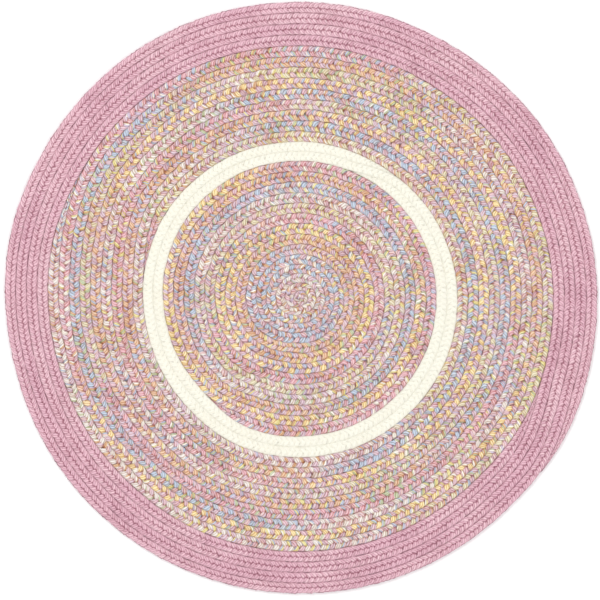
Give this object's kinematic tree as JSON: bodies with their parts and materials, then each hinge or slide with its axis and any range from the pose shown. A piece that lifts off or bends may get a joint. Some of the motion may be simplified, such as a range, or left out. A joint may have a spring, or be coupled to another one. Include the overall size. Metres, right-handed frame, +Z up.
{
  "type": "braided rug",
  "caption": "Round flat rug of plaited braid coiled in rows: a pastel many-coloured centre and outer band, a plain cream ring between them and a plain pink border.",
  "frame": {"origin": "on the floor plane under the middle of the rug's outline", "axes": "+Z up out of the rug's upper face; +X and +Y lie in the floor plane, with +Y at the top of the picture"},
  "size_m": [1.2204, 1.2188, 0.012],
  "materials": {
    "variegated_braid": "matte space-dyed yarn in pink, yellow, light blue, orange and cream, braided",
    "cream_braid": "matte cream yarn, braided",
    "pink_braid": "matte pink yarn with a little darker rose in it, braided"
  },
  "bodies": {
    "root": {"centre_coil": "variegated_braid", "cream_band": "cream_braid", "variegated_band": "variegated_braid", "border_band": "pink_braid"}
  },
  "joints": []
}
